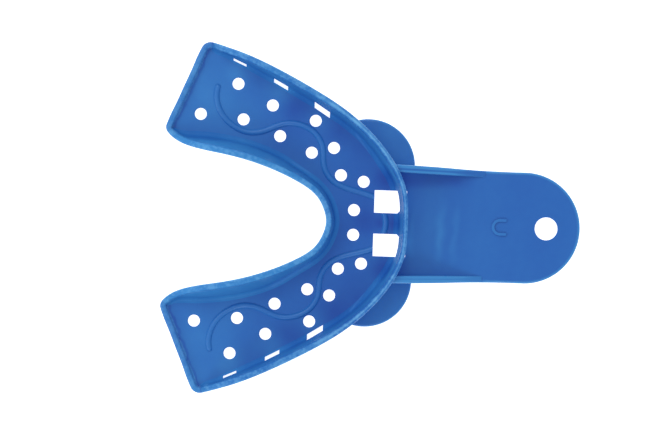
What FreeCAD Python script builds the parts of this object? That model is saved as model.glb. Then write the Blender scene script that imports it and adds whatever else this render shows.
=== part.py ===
import FreeCAD, Part
import os
from math import hypot
from FreeCAD import Vector

# Disposable lower impression tray, one injection moulding.
# Frame: +X from the heels to the handle tip, +Y to the left arm, +Z up out of the trough.
# The underside of the floor, the handle and the finger rests is the plane z = 0.

# Floor of the trough
floor_thickness = 1.6
perforation_radius = 1.33
perforation_round = 0.25
perforation_centres = [
    (-38.7, 23.0), (-30.55, 29.95), (-29.15, 22.1), (-22.75, 25.4), (-20.9, 18.65), (-13.75, 15.2),
    (-13.1, 22.3), (-8.85, 16.4), (-7.1, 10.4), (-2.0, 9.1), (-3.95, 2.75),
]

# Rim edges of the left half, from the corner of the heel to the midline
outer_rim = [(-38.25, 39.45), (-36.2, 38.9), (-28.2, 36.3), (-20.2, 32.7), (-12.2, 28.45),
             (-6.2, 24.7), (-0.2, 19.6), (4.8, 13.4), (7.45, 7.6), (8.08, 0.0)]
inner_rim = [(-46.6, 19.6), (-46.0, 18.8), (-44.2, 17.2), (-40.2, 15.55), (-34.2, 14.35), (-28.2, 13.05),
             (-22.2, 11.1), (-16.2, 8.35), (-12.3, 5.5), (-10.65, 2.6), (-10.1, 0.0)]

# Height of each rim, as (x, z)
heel_height = 3.0
outer_height = [(-36.3, heel_height), (-34.0, 3.7), (-30.5, 6.1), (-26.0, 7.8), (-18.0, 8.8), (-6.0, 9.3),
                (8.1, 9.6)]
inner_height = [(-46.0, heel_height), (-43.8, 3.7), (-40.0, 6.2), (-35.5, 8.7), (-29.0, 10.2), (-20.0, 9.6),
                (-10.1, 8.4)]

# Distance from the rim edge to where the floor starts, as (x, distance)
heel_foot = 1.7
outer_foot = [(-36.3, heel_foot), (-33.0, 2.5), (-28.0, 3.1), (-22.0, 3.4), (-11.0, 3.6), (-1.0, 3.3),
              (4.5, 3.5), (8.1, 3.15)]
inner_foot = [(-46.0, heel_foot), (-43.0, 2.9), (-38.0, 4.1), (-29.0, 4.5), (-22.0, 4.2), (-17.0, 3.4),
              (-10.1, 3.0)]

# Width of the flat land on top of each rim and its rounded edges together, as (x, width)
heel_land = 1.3
outer_land = [(-36.3, heel_land), (-31.0, 1.4), (-12.0, 1.45), (8.1, 1.1)]
inner_land = [(-46.0, heel_land), (-41.0, 1.4), (-29.0, 1.5), (-10.1, 1.35)]

# Wall section
wall_base_thickness = 1.55
least_lean = 0.3
foot_fillet = 1.0
rim_outer_round = 0.6
rim_inner_round = 0.45
rim_depth = 1.25
outer_stations = 45
inner_stations = 37

# Heels
heel_inner_corner_radius = 1.8
heel_outer_corner_radius = 2.2
corner_stations = 7
heel_stations = 5

# Slots along the foot of the outer walls: both ends of the edge in the floor, and the depth towards the rim
slots = [
    ((-31.8, 35.1), (-28.9, 33.8), 0.5),
    ((-22.65, 30.55), (-19.5, 28.85), 0.85),
    ((-13.45, 25.2), (-10.0, 23.0), 1.3),
]
slot_top = 3.9

# Square windows at the front, with their two far corners cut off
window_near = 0.5
window_far = 7.75
window_inner_side = 2.32
window_outer_side = 7.34
window_corner = 0.7
window_corner_start = 5.0
window_top = 3.8

# Raised retention bead
bead_width = 1.35
bead_height = 0.42
bead_path = [(-35.1, 29.1), (-35.2, 26.0), (-33.9, 23.0), (-31.4, 20.6), (-27.7, 19.25), (-24.2, 19.8),
             (-20.2, 21.4), (-16.4, 21.3), (-13.2, 19.6), (-11.4, 16.5), (-11.0, 12.5), (-9.0, 9.2),
             (-6.2, 7.7), (-2.2, 6.6), (1.2, 5.4)]
bead_bridge_path = [(2.65, 2.6), (3.2, 0.0), (2.65, -2.6)]

# Handle
handle_thickness = 2.0
handle_edge = [(1.8, 13.3), (9.8, 13.05), (15.8, 12.83), (20.8, 12.57), (25.8, 12.4), (34.0, 12.35)]
handle_end_centre = 34.0
handle_end_radius = 12.35
handle_edge_round = 0.45
hanging_hole_x = 38.85
hanging_hole_radius = 2.55

# Stiffening ribs along the two long edges of the handle
rib_inner_edge = [(1.8, 11.6), (6.8, 11.45), (15.8, 11.2), (26.0, 11.0)]
rib_top = [(1.8, 7.9), (7.0, 7.5), (13.0, 6.0), (19.0, 4.0), (25.6, 2.0)]
rib_blunt_end = 24.9
rib_inner_round = 0.3

# Finger rests beside the handle root
rest_thickness = 1.7
rest_centre = Vector(-1.1, 12.7, 0)
rest_radius = 10.4
rest_round = 0.5

# Raised size mark, a plain little arch
mark_x = 28.6
mark_radius = 1.55
mark_width = 0.6
mark_leg = 1.4
mark_height = 0.35

# Planes that part the front of the tray from its two arms
front_zone_apex_x = -20.4
front_zone_slope = 0.5747
front_zone_reach = 45.0

# Reach of the blocks that cut or part the solids, clear of the tray all round
far = 60.0
below = -1.0
above = 20.0
rib_block_height = 12.0
rim_zone_margin = 3.0
rim_zone_steps = 24

# Tolerances used to find edges and sides
hair = 0.01
small = 0.05
long_edge = 60.0


def value_at(table, x):
    """Smooth value of a (x, value) table."""
    if x <= table[0][0]:
        return table[0][1]
    if x >= table[-1][0]:
        return table[-1][1]
    i = 0
    while table[i + 1][0] < x:
        i += 1
    width = table[i + 1][0] - table[i][0]
    t = (x - table[i][0]) / width
    slope = [table_slope(table, j) for j in (i, i + 1)]
    start = table[i][1] * (2 * t ** 3 - 3 * t ** 2 + 1) + slope[0] * width * (t ** 3 - 2 * t ** 2 + t)
    return start + table[i + 1][1] * (3 * t ** 2 - 2 * t ** 3) + slope[1] * width * (t ** 3 - t ** 2)


def table_slope(table, i):
    before = max(i - 1, 0)
    after = min(i + 1, len(table) - 1)
    return (table[after][1] - table[before][1]) / (table[after][0] - table[before][0])


def spline(points):
    curve = Part.BSplineCurve()
    curve.interpolate([Vector(*p) for p in points])
    return curve


def both_sides(half):
    """A left-half line of points carried on across the midline."""
    return half + [(x, -y) for x, y in reversed(half[:-1])]


def line(a, b):
    return Part.makeLine(a, b)


def rounded(a, corner, b):
    curve = Part.BezierCurve()
    curve.setPoles([a, corner, b])
    return curve.toShape()


def prism(edges, bottom, top):
    """Closed flat outline carried from one height to another."""
    face = Part.Face(Part.Wire(Part.__sortEdges__(edges)))
    face.translate(Vector(0, 0, bottom))
    return face.extrude(Vector(0, 0, top - bottom))


def polygon_prism(points, bottom, top):
    corners = [Vector(x, y, bottom) for x, y in points]
    face = Part.Face(Part.makePolygon(corners + corners[:1]))
    return face.extrude(Vector(0, 0, top - bottom))


def mirrored(shape):
    return shape.mirror(Vector(0, 0, 0), Vector(0, 1, 0))


def biggest(shape):
    return max(shape.Solids, key=lambda solid: solid.Volume)


def wall_section(point, away, foot, land, height):
    """Closed outline of the wall square to the rim, foot on the floor and rounded rim on top."""
    def at(u, z):
        return point + away * u + Vector(0, 0, z)

    blend = min(foot_fillet, 0.3 * (height - floor_thickness))
    base = foot - blend
    lean = max(base - wall_base_thickness, least_lean)
    drift = (base - land) * blend / (height - rim_inner_round - floor_thickness)
    toe = drift - base
    path = [
        line(at(-lean, 0), at(0, height - rim_outer_round)),
        rounded(at(0, height - rim_outer_round), at(0, height), at(-rim_outer_round, height)),
        line(at(-rim_outer_round, height), at(rim_inner_round - land, height)),
        rounded(at(rim_inner_round - land, height), at(-land, height), at(-land, height - rim_inner_round)),
        line(at(-land, height - rim_inner_round), at(toe, floor_thickness + blend)),
        rounded(at(toe, floor_thickness + blend), at(-base, floor_thickness), at(-foot, floor_thickness)),
        line(at(-foot, floor_thickness), at(-foot, 0)),
        line(at(-foot, 0), at(-lean, 0)),
    ]
    return Part.Wire(path)


def loft(sections):
    return Part.makeLoft(sections, True, False)


def tray_plan():
    """Upright block with the outline of the tray: both rims and the two heel ends with rounded corners."""
    outer = spline(both_sides(outer_rim))
    inner = spline(both_sides(inner_rim))
    ends = [line(outer.StartPoint, inner.StartPoint), line(outer.EndPoint, inner.EndPoint)]
    block = prism([outer.toShape(), inner.toShape()] + ends, 0, floor_thickness)
    outer_corners = upright_edges(block, outer_rim[0])
    block = block.makeFillet(heel_outer_corner_radius, outer_corners)
    inner_corners = upright_edges(block, inner_rim[0])
    return block.makeFillet(heel_inner_corner_radius, inner_corners)


def upright_edges(block, corner):
    """The upright edges at one corner of the outline and at its mirror image."""
    found = []
    for edge in block.Edges:
        middle = edge.CenterOfMass
        if hypot(middle.x - corner[0], abs(middle.y) - corner[1]) < small:
            found.append(edge)
    return found


def rim_edges(plan):
    """Edges of the outline: outer rim, inner rim, and the left heel from its outer to its inner corner."""
    floor_edges = [e for e in plan.Edges if e.BoundBox.ZMax < hair]
    long_edges = sorted((e for e in floor_edges if e.Length > long_edge), key=lambda e: -e.Length)
    left = [e for e in floor_edges if e.Length < long_edge and e.CenterOfMass.y > 0]
    heel = sorted(left, key=lambda e: -e.CenterOfMass.y)
    return long_edges[0], long_edges[1], heel


def walk(plan, edge, count, start):
    """Evenly spaced points along an edge from the end nearest start, each with its way out of the tray."""
    points = edge.discretize(Number=count)
    if (points[0] - start).Length > (points[-1] - start).Length:
        points.reverse()
    result = []
    for point in points:
        tangent = edge.Curve.tangent(edge.Curve.parameter(point))[0]
        away = Vector(-tangent.y, tangent.x, 0).normalize()
        probe = point + away * small + Vector(0, 0, floor_thickness / 2)
        result.append((point, away * -1 if plan.isInside(probe, hair, True) else away))
    return result


def rim_wall(stations, foot, land, height):
    """Wall along a run of stations, with foot, land and height that vary along x."""
    sections = []
    for point, away in stations:
        sizes = [value_at(table, point.x) for table in (foot, land, height)]
        sections.append(wall_section(point, away, *sizes))
    return loft(sections)


def heel_wall(plan, heel):
    """Low wall across the end of the left arm and around both of its corners."""
    counts = (corner_stations, heel_stations, corner_stations)
    stations = []
    start = Vector(outer_rim[0][0], far, 0)
    for edge, count in zip(heel, counts):
        run = walk(plan, edge, count, start)
        stations += run if not stations else run[1:]
        start = run[-1][0]
    return loft([wall_section(point, away, heel_foot, heel_land, heel_height) for point, away in stations])


def rim_zone(height):
    """Space above the line where a wall gives way to its rounded rim."""
    start = height[0][0] - rim_zone_margin
    end = height[-1][0] + rim_zone_margin
    low = []
    for i in range(rim_zone_steps + 1):
        x = start + (end - start) * i / rim_zone_steps
        low.append((x, -far, value_at(height, x) - rim_depth))
    edge = spline(low).toShape()
    first = Vector(*low[0])
    last = Vector(*low[-1])
    roof_first = Vector(first.x, -far, above)
    roof_last = Vector(last.x, -far, above)
    wire = Part.Wire([edge, line(last, roof_last), line(roof_last, roof_first), line(roof_first, first)])
    return Part.Face(wire).extrude(Vector(0, 2 * far, 0))


def front_zone():
    reach = front_zone_reach
    side_x = front_zone_apex_x + front_zone_slope * reach
    points = [(front_zone_apex_x, 0), (side_x, reach), (far, reach), (far, -reach), (side_x, -reach)]
    return polygon_prism(points, below, above)


def left_half(shape):
    return shape.common(polygon_prism([(-far, 0), (far, 0), (far, far), (-far, far)], below, above))


def slot_pins():
    """Upright blocks that leave the slots at the foot of both outer walls, with ends along Y."""
    pins = []
    for (x1, y1), (x2, y2), depth in slots:
        pins.append(polygon_prism([(x1, y1), (x2, y2), (x2, y2 + depth), (x1, y1 + depth)], below, slot_top))
    return pins + [mirrored(pin) for pin in pins]


def window_pins():
    near, far_side = window_near, window_far
    low, high, cut = window_inner_side, window_outer_side, window_corner
    points = [(near, low), (window_corner_start + cut, low), (window_corner_start + 2 * cut, low + cut),
              (far_side, low + cut), (far_side, high), (window_corner_start, high), (near, high)]
    pin = polygon_prism(points, below, window_top)
    return [pin, mirrored(pin)]


def floor_plate(plan, walls):
    return biggest(cut_all(plan, walls))


def perforations():
    holes = []
    for x, y in perforation_centres:
        for side in (1, -1):
            holes.append(Part.makeCylinder(perforation_radius, above, Vector(x, side * y, below)))
    return holes


def round_perforations(shape):
    rings = [e for e in shape.Edges if isinstance(e.Curve, Part.Circle)
             and abs(e.Curve.Radius - perforation_radius) < hair]
    return shape.makeFillet(perforation_round, rings)


def sweep_bead(path):
    curve = spline(path)
    edge = curve.toShape()
    start = curve.value(curve.FirstParameter)
    tangent = curve.tangent(curve.FirstParameter)[0]
    across = Vector(-tangent.y, tangent.x, 0).normalize() * (bead_width / 2)
    base = start + Vector(0, 0, floor_thickness)
    crown = Part.Arc(base - across, base + Vector(0, 0, bead_height), base + across).toShape()
    profile = Part.Wire([crown, line(base + across, base - across)])
    spine = edge.translated(Vector(0, 0, floor_thickness))
    pipe = Part.BRepOffsetAPI.MakePipeShell(Part.Wire(spine))
    pipe.setBiNormalMode(Vector(0, 0, 1))
    pipe.add(profile)
    pipe.build()
    pipe.makeSolid()
    return pipe.shape()


def bead_end(point):
    """Rounded end of the bead."""
    base = Vector(point[0], point[1], floor_thickness)
    side = base + Vector(bead_width / 2, 0, 0)
    other = base - Vector(bead_width / 2, 0, 0)
    crown = base + Vector(0, 0, bead_height)
    arch = Part.Arc(side, crown, other)
    quarter = Part.Arc(side, arch.value(arch.parameter(crown) / 2 + arch.FirstParameter / 2), crown)
    half = Part.Face(Part.Wire([quarter.toShape(), line(crown, base), line(base, side)]))
    return half.revolve(base, Vector(0, 0, 1), 360)


def side_profile(low_curve, top, width):
    """Everything above a line seen from the side, from one side of the tray to the other."""
    first = low_curve.StartPoint
    last = low_curve.EndPoint
    roof_first = Vector(first.x, first.y, top)
    roof_last = Vector(last.x, last.y, top)
    edges = [low_curve.toShape(), line(last, roof_last), line(roof_last, roof_first), line(roof_first, first)]
    return Part.Face(Part.Wire(edges)).extrude(Vector(0, width, 0))


def handle_outline(top):
    edge = spline(handle_edge).toShape()
    shoulder = Vector(handle_end_centre, handle_end_radius, 0)
    tip = Vector(handle_end_centre + handle_end_radius, 0, 0)
    root = Vector(handle_edge[0][0], handle_edge[0][1], 0)
    end = Part.Arc(shoulder, tip, Vector(shoulder.x, -shoulder.y, 0)).toShape()
    edges = [edge, mirrored(edge), end, line(root, Vector(root.x, -root.y, 0))]
    return prism(edges, 0, top)


def handle_channel():
    """Space between the two ribs, above the handle plate."""
    inner = spline(rib_inner_edge).toShape()
    root = Vector(*rib_inner_edge[0], 0)
    end = Vector(*rib_inner_edge[-1], 0)
    closing = [line(p, Vector(p.x, -p.y, 0)) for p in (root, end)]
    return prism([inner, mirrored(inner)] + closing, handle_thickness, rib_block_height)


def handle_with_ribs():
    """Handle plate and both ribs in one, with rounded edges."""
    body = handle_outline(rib_block_height)
    low = spline([(x, -far, z) for x, z in rib_top])
    body = body.cut(side_profile(low, above, 2 * far))
    rib_end = rib_top[-1][0]
    body = body.cut(Part.makeBox(far, 2 * far, above, Vector(rib_end, -far, handle_thickness)))
    body = body.cut(handle_channel())
    body = body.makeFillet(handle_edge_round, [e for e in body.Edges if on_handle_outline(e)])
    return body.makeFillet(rib_inner_round, [e for e in body.Edges if on_rib_inner_top(e)])


def handle_rib(above_plate):
    """The left rib, with its thin tip left off."""
    tip = Part.makeBox(far, 2 * far, above, Vector(rib_blunt_end, -far, 0))
    return biggest(left_half(above_plate).cut(tip))


def edge_middle(edge):
    return edge.valueAt((edge.FirstParameter + edge.LastParameter) / 2)


def on_handle_outline(edge):
    """True for the top and bottom edges around the outside of the handle and its ribs."""
    middle = edge_middle(edge)
    upright = edge.BoundBox.XLength < hair and edge.BoundBox.YLength < hair
    if upright or middle.x < handle_edge[0][0] + 0.1:
        return False
    outside = abs(middle.y) > rib_inner_edge[0][1] + 0.2 or middle.x > handle_end_centre
    return outside or middle.z < hair


def on_rib_inner_top(edge):
    middle = edge_middle(edge)
    beside_channel = rib_inner_edge[-1][1] - 0.1 < abs(middle.y) < rib_inner_edge[0][1] - 0.1
    return beside_channel and middle.z > handle_thickness + 0.5 and edge.Length > 10


def finger_rest(outer_wall, handle):
    disc = Part.makeCylinder(rest_radius, rest_thickness, rest_centre)
    rims = [e for e in disc.Edges if isinstance(e.Curve, Part.Circle) and e.Curve.Center.z > hair]
    disc = disc.makeFillet(rest_round, rims)
    pieces = disc.cut(outer_wall).cut(handle).Solids
    return max(pieces, key=lambda solid: solid.CenterOfMass.x + solid.CenterOfMass.y)


def size_mark():
    outer = mark_radius + mark_width / 2
    inner = mark_radius - mark_width / 2
    ring = Part.makeCylinder(outer, mark_height).cut(Part.makeCylinder(inner, mark_height))
    ring = ring.cut(Part.makeBox(outer, 2 * outer, mark_height, Vector(0, -outer, 0)))
    legs = [Part.makeBox(mark_leg, mark_width, mark_height, Vector(0, y, 0)) for y in (inner, -outer)]
    mark = ring.fuse(legs).removeSplitter()
    return mark.translated(Vector(mark_x, 0, handle_thickness))


def cut_all(shape, tools):
    for tool in tools:
        shape = shape.cut(tool)
    return shape


def build():
    plan = tray_plan()
    outer_edge, inner_edge, heel = rim_edges(plan)
    left_end = Vector(-far, far, 0)
    outer_run = walk(plan, outer_edge, outer_stations, left_end)
    inner_run = walk(plan, inner_edge, inner_stations, left_end)
    outer_wall = rim_wall(outer_run, outer_foot, outer_land, outer_height)
    inner_wall = rim_wall(inner_run, inner_foot, inner_land, inner_height)
    ridge = heel_wall(plan, heel)
    floor = floor_plate(plan, [outer_wall, inner_wall, ridge, mirrored(ridge)])
    whole_handle = handle_with_ribs().cut(outer_wall)
    whole_handle = max(whole_handle.Solids, key=lambda solid: solid.CenterOfMass.x)
    rest = finger_rest(outer_wall, whole_handle)

    pins = slot_pins() + window_pins()
    outer_wall = cut_all(outer_wall, pins)
    floor = round_perforations(cut_all(floor, pins + perforations()))
    whole_handle = cut_all(whole_handle, window_pins())
    hole = Part.makeCylinder(hanging_hole_radius, above, Vector(hanging_hole_x, 0, below))
    above_plate = Part.makeBox(2 * far, 2 * far, above, Vector(-far, -far, handle_thickness))

    front = front_zone()
    nodes = {}
    add_ring(nodes, "floor", floor, front)
    add_ring(nodes, "outer_rim", outer_wall.common(rim_zone(outer_height)), front)
    add_ring(nodes, "outer_wall", outer_wall.cut(rim_zone(outer_height)), front)
    add_ring(nodes, "lingual_rim", inner_wall.common(rim_zone(inner_height)), front)
    add_ring(nodes, "lingual_wall", inner_wall.cut(rim_zone(inner_height)), front)
    add_pair(nodes, "heel_ridge", ridge)
    bead = sweep_bead(bead_path).fuse(bead_end(bead_path[0]))
    add_pair(nodes, "retention_bead", biggest(cut_all(bead, window_pins())))
    nodes["retention_bead_bridge"] = biggest(cut_all(sweep_bead(bead_bridge_path), window_pins()))
    nodes["handle_plate"] = biggest(whole_handle.cut(above_plate).cut(hole))
    add_pair(nodes, "handle_rib", handle_rib(whole_handle.common(above_plate)))
    add_pair(nodes, "finger_rest", rest)
    nodes["size_mark"] = biggest(size_mark())
    return nodes


def add_ring(nodes, name, shape, front):
    nodes[name + "_front"] = biggest(shape.common(front))
    arm = biggest(left_half(shape.cut(front)))
    add_pair(nodes, name, arm)


def add_pair(nodes, name, left):
    nodes[name + "_left"] = left
    nodes[name + "_right"] = mirrored(left)


os.makedirs("parts", exist_ok=True)
for name, shape in build().items():
    box = shape.BoundBox
    print(name, shape.ShapeType, len(shape.Solids), shape.isValid(), round(shape.Volume, 1),
          [round(v, 2) for v in (box.XMin, box.XMax, box.YMin, box.YMax, box.ZMin, box.ZMax)])
    shape.exportStep("parts/" + name + ".step")
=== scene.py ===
import bpy
from math import radians
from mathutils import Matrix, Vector


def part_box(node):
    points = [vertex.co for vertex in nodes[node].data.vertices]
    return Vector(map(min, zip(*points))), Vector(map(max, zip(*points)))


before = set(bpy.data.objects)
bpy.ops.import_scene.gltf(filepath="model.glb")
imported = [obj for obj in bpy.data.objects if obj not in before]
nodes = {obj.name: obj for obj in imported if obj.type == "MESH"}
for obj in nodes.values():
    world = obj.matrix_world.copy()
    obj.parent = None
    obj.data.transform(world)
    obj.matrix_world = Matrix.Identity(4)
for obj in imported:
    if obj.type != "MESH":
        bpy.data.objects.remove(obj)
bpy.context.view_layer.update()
scene = bpy.context.scene
scene.view_settings.view_transform = "Standard"
mm = 0.001


def inMm(*values):
    return tuple(value * mm for value in values)


def screen(red, green, blue):    # a colour as a screen shows it, made linear
    return tuple(((c / 255 + 0.055) / 1.055) ** 2.4 for c in (red, green, blue)) + (1,)


# One value of a material: Python's operators on it add Math nodes
class Sock:
    def __init__(self, shader, out):
        self.shader = shader
        self.out = out

    def math(self, operation, *others, clamp=False):
        settings = {"operation": operation, "use_clamp": clamp}
        return self.shader.node("ShaderNodeMath", settings, dict(enumerate([self, *others])))

    def __add__(self, other):
        return self.math("ADD", other)

    def __sub__(self, other):
        return self.math("SUBTRACT", other)

    def __rsub__(self, other):
        return self.shader.node("ShaderNodeMath", {"operation": "SUBTRACT"}, {0: other, 1: self})

    def __mul__(self, other):
        return self.math("MULTIPLY", other)

    def __truediv__(self, other):
        return self.math("DIVIDE", other)

    __radd__ = __add__
    __rmul__ = __mul__

    def __abs__(self):
        return self.math("ABSOLUTE")

    def sqrt(self):
        return self.math("SQRT")

    def clamp(self):
        return self.math("ADD", 0.0, clamp=True)


# One material: its nodes, its coordinates and the soft shapes that patterns are made of
class Shader:
    def __init__(self, name):
        self.material = bpy.data.materials.new(name)
        self.material.use_nodes = True
        self.tree = self.material.node_tree
        self.surface = self.tree.nodes["Principled BSDF"]
        self.coords = self.node("ShaderNodeTexCoord", {}, {}, "Object")
        self.x, self.y, self.z = (self.split(self.coords, letter) for letter in "XYZ")

    def node(self, kind, settings, inputs, output=0):
        made = self.tree.nodes.new(kind)
        for key, value in settings.items():
            if key == "stops":
                self.setStops(made.color_ramp, value)
            else:
                setattr(made, key, value)
        for key, value in inputs.items():
            self.feed(made.inputs[key], value)
        return Sock(self, made.outputs[output])

    def setStops(self, ramp, stops):
        while len(ramp.elements) < len(stops):
            ramp.elements.new(0.5)
        for element, (position, colour) in zip(ramp.elements, stops):
            element.position = position
            element.color = colour

    def feed(self, socket, value):
        if isinstance(value, Sock):
            self.tree.links.new(value.out, socket)
        else:
            socket.default_value = value

    def put(self, **values):
        for key, value in values.items():
            self.feed(self.surface.inputs[key.replace("_", " ")], value)

    def split(self, vector, letter):
        return self.node("ShaderNodeSeparateXYZ", {}, {0: vector}, letter)

    def normal(self, letter):
        return self.split(self.node("ShaderNodeTexCoord", {}, {}, "Normal"), letter)

    def noise(self, size, detail, stretch=(1, 1, 1), rough=0.5):
        where = self.node("ShaderNodeMapping", {}, {"Vector": self.coords, "Scale": stretch})
        inputs = {"Vector": where, "Scale": 1 / size, "Detail": detail, "Roughness": rough}
        return self.node("ShaderNodeTexNoise", {}, inputs, "Fac")

    def unevenness(self, size, detail, amount, stretch=(1, 1, 1)):    # noise around zero
        return (self.noise(size, detail, stretch) - 0.5) * amount

    def step(self, value, start, end):    # rises softly from 0 to 1
        inputs = {"Value": value, "From Min": start, "From Max": end}
        return self.node("ShaderNodeMapRange", {"interpolation_type": "SMOOTHSTEP"}, inputs)

    def band(self, value, centre, width):    # 1 at the centre, fading to 0 at width
        return 1 - self.step(abs(value - centre), 0.0, width)

    def away(self, x, y):    # distance from a point of the plan, the same on both arms
        dx = self.x - x
        dy = abs(self.y) - y
        return (dx * dx + dy * dy).sqrt()

    def spot(self, x, y, radius):
        return 1 - self.step(self.away(x, y), 0.0, radius)

    def stroke(self, startX, startY, endX, endY, width, bothArms=False):    # soft line in plan
        y = abs(self.y) if bothArms else self.y
        runX, runY = endX - startX, endY - startY
        dx, dy = self.x - startX, y - startY
        along = ((dx * runX + dy * runY) / (runX * runX + runY * runY)).clamp()
        offX, offY = dx - along * runX, dy - along * runY
        fadedEnds = 1 - self.step(abs(along - 0.5), 0.25, 0.5)
        return (1 - self.step((offX * offX + offY * offY).sqrt(), 0.0, width)) * fadedEnds

    def mixColour(self, factor, first, second):
        return self.node("ShaderNodeMix", {"data_type": "RGBA"}, {0: factor, 6: first, 7: second}, 2)

    def ramp(self, value, stops):
        return self.node("ShaderNodeValToRGB", {"stops": stops}, {0: value})

    def bump(self, height, distance, strength, normal=None):
        inputs = {"Height": height, "Distance": distance, "Strength": strength}
        if normal:
            inputs["Normal"] = normal
        return self.node("ShaderNodeBump", {}, inputs, "Normal")


plastic = {
    "tones": [    # tone 0 is the deepest blue and tone 1 the palest
        (0.0, screen(21, 64, 146)),
        (0.25, screen(26, 79, 158)),
        (0.5, screen(33, 94, 167)),
        (0.75, screen(42, 109, 176)),
        (1.0, screen(56, 130, 190)),
    ],
    # pale blue for the frost on the rims and for their painted highlights
    "frostAndHighlightColour": screen(104, 168, 214),
    # painted light: light through the slots and windows, and reflection streaks
    "paintedLight": screen(78, 136, 204),
    "paintedGlow": screen(6, 18, 58),    # a painted glow that stands for light wandering through the plastic
    # a stronger painted glow for the shaded corner at the handle's root
    "paintedRootGlow": screen(4, 20, 86),
    "roughness": 0.34,
    "roughnessPatch": 2.5 * mm,
    "roughnessRange": 0.14,
    "specular": 0.3,
    "refraction": 1.5,
    "blotch": 0.5,
    "blotchSize": 15 * mm,
    "flow": 0.22,
    "flowSize": 8 * mm,
    "flowStretch": (1, 0.4, 1),
    "speck": 0.08,
    "speckSize": 1.6 * mm,
    "edgeSlope": (0.04, 0.6),
    "upwardSlope": (0.0, 0.15),
    "grainSize": 0.22 * mm,
    "grainDepth": 0.006 * mm,
    "grainStrength": 0.8,
    "waveSize": 4.5 * mm,
    "waveDepth": 0.09 * mm,
    "waveStrength": 0.5,
}

# Stretches over which the tone changes, along one axis
zones = {
    "heel": inMm(-36, -14),
    "front": inMm(-16, 2),
    "aboveFloor": inMm(3.5, 6.5),
    "upWallLight": inMm(2, 7),
    "acrossMiddle": inMm(-6, 6),
}


def mottled(s, look):    # the uneven blue that every piece starts from
    tone = look["tone"] + s.unevenness(plastic["blotchSize"], 2, look.get("blotch", plastic["blotch"]))
    tone = tone + s.unevenness(plastic["flowSize"], 2, plastic["flow"], plastic["flowStretch"])
    return tone + s.unevenness(plastic["speckSize"], 3, plastic["speck"])


def atHeel(s):
    return 1 - s.step(s.x, *zones["heel"])


def atFront(s):
    return s.step(s.x, *zones["front"])


def nearFloor(s):
    return 1 - s.step(s.z, *zones["aboveFloor"])


# painted light: paler up the walls, lifting the shade near their feet
def upWallLight(s):
    return s.step(s.z, *zones["upWallLight"])


def onRightArm(s):
    return 1 - s.step(s.y, *zones["acrossMiddle"])


def steepEdgeHighlight(s):    # painted highlight wherever the surface is steep
    return s.step(1 - abs(s.normal("Z")), *plastic["edgeSlope"])


def toBlue(s, tone):
    return s.ramp(tone.clamp(), plastic["tones"])


def paintedLight(s, colour, amount):    # painted light, only on the side that faces up into the trough
    upward = s.step(s.normal("Z"), *plastic["upwardSlope"])
    return s.mixColour(upward * amount, colour, plastic["paintedLight"])


def moulded(s, colour, look, glow=plastic["paintedGlow"]):    # gloss, grain, faint waves and a painted glow
    roughness = look.get("roughness", plastic["roughness"])
    patches = s.unevenness(plastic["roughnessPatch"], 3, plastic["roughnessRange"])
    wave = s.noise(plastic["waveSize"], 1)
    grain = s.noise(plastic["grainSize"], 2)
    normal = s.bump(wave, plastic["waveDepth"], plastic["waveStrength"])
    normal = s.bump(grain, plastic["grainDepth"], plastic["grainStrength"], normal)
    s.put(Base_Color=colour, Roughness=roughness + patches, Normal=normal)
    s.put(Specular_IOR_Level=look.get("specular", plastic["specular"]), IOR=plastic["refraction"])
    s.put(Emission_Color=glow, Emission_Strength=1.0)
    return s.material


# Painted light and shade at the bottom of the trough: x, y and radius, then the change of tone
troughLightAndShade = [
    (inMm(-30.4, 32.6, 5.0), 0.2),    # painted light inward of each slot
    (inMm(-21.0, 28.4, 5.0), 0.2),
    (inMm(-11.6, 22.6, 5.0), 0.2),
    (inMm(-17.5, 25.2, 4.5), -0.22),    # painted shade between the slots
    (inMm(-8.0, 20.0, 5.0), -0.17),
    (inMm(3.2, 10.2, 4.2), -0.4),    # painted shade beside the windows
    (inMm(-1.2, 0.0, 4.5), -0.22),    # painted shade behind and between the windows
    (inMm(5.4, 0.0, 2.4), -0.35),
    (inMm(1.9, 0.0, 1.8), -0.2),
]


def paintedTroughLightAndShade(s):
    return sum(s.spot(*place) * change for place, change in troughLightAndShade) * nearFloor(s)


heelEnd = {
    "alongX": 0.922,    # direction square to the end of the heel
    "alongY": -0.388,
    "fromOrigin": 50.57 * mm,
    "line": 1.95 * mm,    # the painted shadow line's distance from the end
    "lineWidth": 0.45 * mm,
    "waver": 1.5 * mm,
    "waverSize": 2.2 * mm,
    "faintest": 0.4,
    "strengthSize": 3 * mm,
}


def heelShadowLine(s):    # the wavering painted shadow line along the foot of each heel ridge
    fromEnd = s.x * heelEnd["alongX"] + abs(s.y) * heelEnd["alongY"] + heelEnd["fromOrigin"]
    waver = s.unevenness(heelEnd["waverSize"], 3, heelEnd["waver"])
    strength = heelEnd["faintest"] + s.noise(heelEnd["strengthSize"], 1)
    return s.band(fromEnd + waver, heelEnd["line"], heelEnd["lineWidth"]) * strength


floor = {"tone": 0.52, "atHeel": 0.18, "atFront": -0.1, "steepEdgeHighlight": 0.15, "heelShadowLine": -0.3}


def floorPlastic():
    s = Shader("floorPlastic")
    tone = mottled(s, floor) + atHeel(s) * floor["atHeel"] + atFront(s) * floor["atFront"]
    tone = tone + paintedTroughLightAndShade(s) + heelShadowLine(s) * floor["heelShadowLine"] + steepEdgeHighlight(s) * floor["steepEdgeHighlight"]
    return moulded(s, toBlue(s, tone), floor)


outerWall = {
    "tone": 0.72,
    "atHeel": 0.08,
    "atFront": -0.02,
    "upWallLight": 0.18,
    "specular": 0.08,
    "roughness": 0.6,
    # painted light where light comes through a window and a slot
    "litPlaces": [(inMm(5.9, 7.9, 1.1), 0.8), (inMm(-10.7, 25.3, 1.4), 0.7)],
    "reflectionStreak": inMm(-4.5, 20.3, -0.7, 15.0, 0.45),    # a painted reflection streak: from x, y to x, y, and its width
    "reflectionStrength": 0.3,
}


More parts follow.
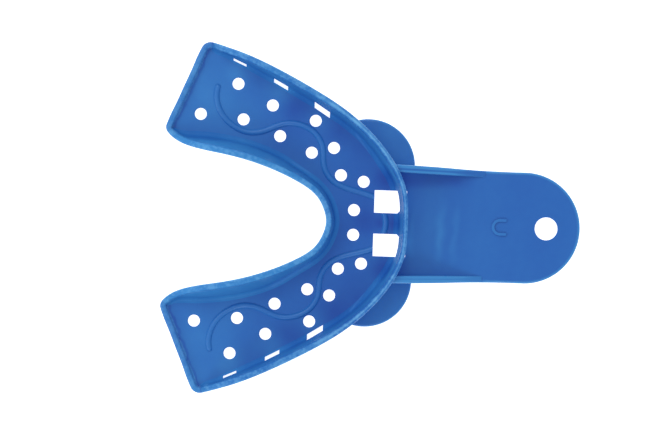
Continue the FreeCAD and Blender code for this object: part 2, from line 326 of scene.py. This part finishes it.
def outerWallPlastic():
    s = Shader("outerWallPlastic")
    tone = mottled(s, outerWall) + atHeel(s) * outerWall["atHeel"] + atFront(s) * outerWall["atFront"]
    tone = tone + paintedTroughLightAndShade(s) + upWallLight(s) * outerWall["upWallLight"]
    colour = toBlue(s, tone)
    # painted light through the window and slot, then a painted reflection streak
    for place, strength in outerWall["litPlaces"]:
        colour = paintedLight(s, colour, s.spot(*place) * nearFloor(s) * strength)
    line = s.stroke(*outerWall["reflectionStreak"], bothArms=True)
    colour = paintedLight(s, colour, line * outerWall["reflectionStrength"])
    return moulded(s, colour, outerWall)


lingualWall = {
    "tone": 0.76,
    "atFront": -0.04,
    "upWallLight": 0.4,
    "rightArm": 0.14,
    "specular": 0.08,
    "roughness": 0.45,
    # painted reflection streaks along the wall's foot: from x, y to x, y, and width, then strength
    "reflectionStreaks": [
        (inMm(-23.8, -16.2, -11.6, -8.2, 0.9), 0.4),
        (inMm(-18.8, 13.4, -13.3, 10.2, 0.4), 0.35),
    ],
}


def lingualWallPlastic():
    s = Shader("lingualWallPlastic")
    tone = mottled(s, lingualWall) + atFront(s) * lingualWall["atFront"]
    tone = tone + upWallLight(s) * lingualWall["upWallLight"] + onRightArm(s) * lingualWall["rightArm"]
    colour = toBlue(s, tone)
    for line, strength in lingualWall["reflectionStreaks"]:
        colour = paintedLight(s, colour, s.stroke(*line) * strength)
    return moulded(s, colour, lingualWall)


# Cloudy frost on the rims, with painted highlights along their outer edges and front crest and painted
# shade on their inward sides
frost = {
    "fineSize": 0.8 * mm,
    "fineRough": 0.6,
    "fineShare": 0.55,
    "coarseSize": 3.0 * mm,
    "cloudEdge": (0.4, 0.6),
    "cloudGain": 1.6,
    "archCentre": -30 * mm,    # on X, the middle of the curve that the rims follow
    "facingOut": (0.25, 0.8),
    "front": inMm(-18, -4),
    "lessAtFront": 0.8,
    "crestHighlight": -0.02,    # how far outward the surface faces where the painted highlight line runs
    "crestHighlightWidth": 0.26,
    "facingIn": (0.1, 0.7),
    "shade": 0.25,
}


def rimFrostAndLight(s, look):    # cloudy frost, a painted highlight on the outer edge, a painted highlight line along the crest at the front and painted shade on the side facing in
    fine = s.noise(frost["fineSize"], 4, rough=frost["fineRough"])
    coarse = s.noise(frost["coarseSize"], 2)
    mixed = fine * frost["fineShare"] + coarse * (1 - frost["fineShare"])
    cloud = s.step(mixed, *frost["cloudEdge"]) * frost["cloudGain"] * look["frost"]
    facing = s.normal("X") * (s.x - frost["archCentre"]) + s.normal("Y") * s.y
    outward = facing / s.away(frost["archCentre"], 0.0) * look["outward"]
    front = s.step(s.x, *frost["front"])
    # painted highlight on the rounded outer edge, weaker at the front
    edgeHighlightMask = s.step(outward, *frost["facingOut"]) * look["edgeHighlight"] * (1 - front * frost["lessAtFront"])
    # painted highlight line along the crest of the front rim
    crestHighlight = s.band(outward, frost["crestHighlight"], frost["crestHighlightWidth"]) * front * look["crestHighlightStrength"]
    shade = s.step(outward * -1, *frost["facingIn"]) * frost["shade"]
    return (cloud + edgeHighlightMask + crestHighlight - shade).clamp()


outerRim = {
    "tone": 0.78,
    "atFront": -0.16,
    "frost": 0.27,
    "outward": 1,
    "edgeHighlight": 0.28,
    "crestHighlightStrength": 0.45,
    "specular": 0.14,
    "roughness": 0.45,
}
lingualRim = {
    "tone": 0.95,
    "atFront": -0.25,
    "frost": 0.27,
    "outward": -1,    # its outer side faces the tongue
    "edgeHighlight": 0.45,
    "crestHighlightStrength": 0.0,
    "specular": 0.14,
    "roughness": 0.4,
}


def rimPlastic(name, look):
    s = Shader(name)
    tone = mottled(s, look) + atFront(s) * look["atFront"]
    return moulded(s, s.mixColour(rimFrostAndLight(s, look), toBlue(s, tone), plastic["frostAndHighlightColour"]), look)


heelRidge = {
    "tone": 0.8,
    "heelShadowLine": -0.7,
    "frost": 0.14,
    "outward": -1,
    "edgeHighlight": 0.25,
    "crestHighlightStrength": 0.0,
}


def heelRidgePlastic():
    s = Shader("heelRidgePlastic")
    tone = mottled(s, heelRidge) + heelShadowLine(s) * heelRidge["heelShadowLine"]
    colour = s.mixColour(rimFrostAndLight(s, heelRidge), toBlue(s, tone), plastic["frostAndHighlightColour"])
    return moulded(s, colour, heelRidge)


bead = {"tone": 0.7, "blotch": 0.2, "atHeel": 0.02}


def beadPlastic():
    s = Shader("beadPlastic")
    return moulded(s, toBlue(s, mottled(s, bead) + atHeel(s) * bead["atHeel"]), bead)


handlePlate = {
    "tone": 0.52,
    "blotch": 0.16,
    "steepEdgeHighlight": 0.45,
    "root": inMm(7, 20),
    # painted light that lifts the shade near the root
    "rootLight": 0.16,
    "glowRoot": inMm(4, 15),
    "sheenBands": [    # faint painted sheen bands across the handle: x and width, then the change of tone
        (inMm(9.6, 1.6), 0.12),
        (inMm(15.4, 1.6), 0.22),
        (inMm(18.9, 1.4), 0.14),
    ],
    "sheenMiddle": -2 * mm,
    "sheenReach": inMm(2, 9),
    "wobble": 4 * mm,
    "wobbleSize": 7 * mm,
    "shadeAndLightStrips": [    # painted shadow and painted light: from x, y to x, y, and width, then the change of tone
        (inMm(2.0, 9.5, 23.0, 10.2, 2.4), -0.24),    # painted shadow beside the left rib
        (inMm(8.0, -14.0, 8.0, 2.0, 5.0), 0.1),    # painted light on the right side of the root
    ],
    "tipRadius": 12.35 * mm,
    # painted highlight along the outline at the end of the handle
    "outlineHighlight": 0.45,
    "outlineHighlightReach": inMm(-0.75, -0.2),
    "beyondRibs": inMm(22, 27),
}


def paintedOutlineHighlight(s):    # the painted highlight along the edge around the end of the handle
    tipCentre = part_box("handle_plate")[1][0] - handlePlate["tipRadius"]
    pastCentre = (s.x - tipCentre).math("MAXIMUM", 0.0)
    fromEdge = (pastCentre * pastCentre + s.y * s.y).sqrt() - handlePlate["tipRadius"]
    return s.step(fromEdge, *handlePlate["outlineHighlightReach"]) * s.step(s.x, *handlePlate["beyondRibs"])


def handlePlatePlastic():
    s = Shader("handlePlatePlastic")
    root = 1 - s.step(s.x, *handlePlate["root"])
    tone = mottled(s, handlePlate) + root * handlePlate["rootLight"]
    across = 1 - s.step(abs(s.y - handlePlate["sheenMiddle"]), *handlePlate["sheenReach"])
    wobble = s.unevenness(handlePlate["wobbleSize"], 1, handlePlate["wobble"])
    for place, change in handlePlate["sheenBands"]:
        tone = tone + s.band(s.x + wobble, *place) * across * change
    for line, change in handlePlate["shadeAndLightStrips"]:
        tone = tone + s.stroke(*line) * change
    tone = tone + paintedOutlineHighlight(s) * handlePlate["outlineHighlight"] + steepEdgeHighlight(s) * handlePlate["steepEdgeHighlight"]
    # a stronger painted glow near the root, where the corner lies in shade
    beyondRoot = s.step(s.x, *handlePlate["glowRoot"])
    glow = s.mixColour(beyondRoot, plastic["paintedRootGlow"], plastic["paintedGlow"])
    return moulded(s, toBlue(s, tone), handlePlate, glow)


handleRib = {
    "tone": 0.74,
    "blotch": 0.2,
    "steepEdgeHighlight": 0.4,
    "roughness": 0.3,
    # painted light: the right rib is paler where it catches more light
    "rightArm": 0.22,
    "atTip": -0.2,
    "tip": inMm(14, 24),
    "innerEdge": 11.69 * mm,    # the rib's inner edge on Y, and how fast it draws in along X
    "taper": 0.0245,
    "highlightAndShadeLines": [    # painted highlight lines and a painted shade line: distance from the inner edge and width, then the change of tone
        (inMm(0.2, 0.35), 0.45),
        (inMm(0.65, 0.3), -0.15),
        (inMm(1.15, 0.4), 0.5),
    ],
    "highlightLinesFade": inMm(15, 24),
}


def handleRibPlastic():
    s = Shader("handleRibPlastic")
    tone = mottled(s, handleRib) + s.step(s.x, *handleRib["tip"]) * handleRib["atTip"]
    fromInnerEdge = abs(s.y) + s.x * handleRib["taper"] - handleRib["innerEdge"]
    fade = 1 - s.step(s.x, *handleRib["highlightLinesFade"])
    for place, change in handleRib["highlightAndShadeLines"]:
        tone = tone + s.band(fromInnerEdge, *place) * fade * change
    tone = tone + onRightArm(s) * handleRib["rightArm"] + steepEdgeHighlight(s) * handleRib["steepEdgeHighlight"]
    return moulded(s, toBlue(s, tone), handleRib)


fingerRest = {"tone": 0.72, "blotch": 0.2, "steepEdgeHighlight": 0.6}


def fingerRestPlastic():
    s = Shader("fingerRestPlastic")
    tone = mottled(s, fingerRest) + steepEdgeHighlight(s) * fingerRest["steepEdgeHighlight"]
    return moulded(s, toBlue(s, tone), fingerRest)


sizeMark = {"tone": 0.7}


def sizeMarkPlastic():
    s = Shader("sizeMarkPlastic")
    return moulded(s, toBlue(s, mottled(s, sizeMark)), sizeMark)


# A node takes the finish that its name starts with
finishes = {
    "floor": floorPlastic(),
    "outer_wall": outerWallPlastic(),
    "lingual_wall": lingualWallPlastic(),
    "outer_rim": rimPlastic("outerRimPlastic", outerRim),
    "lingual_rim": rimPlastic("lingualRimPlastic", lingualRim),
    "heel_ridge": heelRidgePlastic(),
    "retention_bead": beadPlastic(),
    "handle_plate": handlePlatePlastic(),
    "handle_rib": handleRibPlastic(),
    "finger_rest": fingerRestPlastic(),
    "size_mark": sizeMarkPlastic(),
}
print("finishes done")

for name, node in nodes.items():
    start = next(start for start in finishes if name.startswith(start))
    node.data.materials.clear()
    node.data.materials.append(finishes[start])
print("moulding done")


studio = {
    "target": Vector((-10.9, 1.2, 4.0)) * mm,
    "tableSize": 3.0,
    "tableTop": -0.15 * mm,
    "tableColour": (0.94, 0.93, 0.91, 1),
    "tableRoughness": 0.9,
    "tableGlow": 0.96,
    "sky": (0.95, 0.975, 1.0, 1),
    "skyStrength": 0.68,
    "softboxes": {    # where each stands, how wide it is and its power in watts
        "keyFar": ((-0.3, 0.55, 0.72), 0.8, 3.0),
        "fillLeft": ((-0.7, -0.2, 0.5), 0.6, 1.2),
        "stripNear": ((0.1, -0.7, 0.6), 0.35, 1.6),
    },
}

bpy.ops.mesh.primitive_plane_add(size=studio["tableSize"], location=(0, 0, studio["tableTop"]))
table = bpy.context.object
table.name = "studioTable"
paper = Shader("tablePaper")
paper.put(Base_Color=studio["tableColour"], Roughness=studio["tableRoughness"])
paper.put(Emission_Color=studio["tableColour"], Emission_Strength=studio["tableGlow"])
table.data.materials.append(paper.material)

world = bpy.data.worlds.new("studioSky")
world.use_nodes = True
sky = world.node_tree.nodes["Background"]
sky.inputs["Color"].default_value = studio["sky"]
sky.inputs["Strength"].default_value = studio["skyStrength"]
scene.world = world

for name, (place, width, power) in studio["softboxes"].items():
    lamp = bpy.data.lights.new(name, "AREA")
    lamp.shape = "DISK"
    lamp.size = width
    lamp.energy = power
    softbox = bpy.data.objects.new(name, lamp)
    scene.collection.objects.link(softbox)
    softbox.location = place
    softbox.rotation_euler = (studio["target"] - Vector(place)).to_track_quat("-Z", "Y").to_euler()
print("studio done")


topView = {
    "focal": 400.0,
    "sensor": 36.0,
    "across": 143.5 * mm,    # how much of the table the view takes in
    "turn": radians(1.91),
    "clipEnd": 10,
}

camera = bpy.data.cameras.new("topCamera")
camera.lens = topView["focal"]
camera.sensor_width = topView["sensor"]
camera.clip_end = topView["clipEnd"]
eye = bpy.data.objects.new("topCamera", camera)
scene.collection.objects.link(eye)
height = topView["across"] * topView["focal"] / topView["sensor"]
eye.location = (studio["target"].x, studio["target"].y, height)
eye.rotation_euler = (0, 0, topView["turn"])
scene.camera = eye
print("camera done")
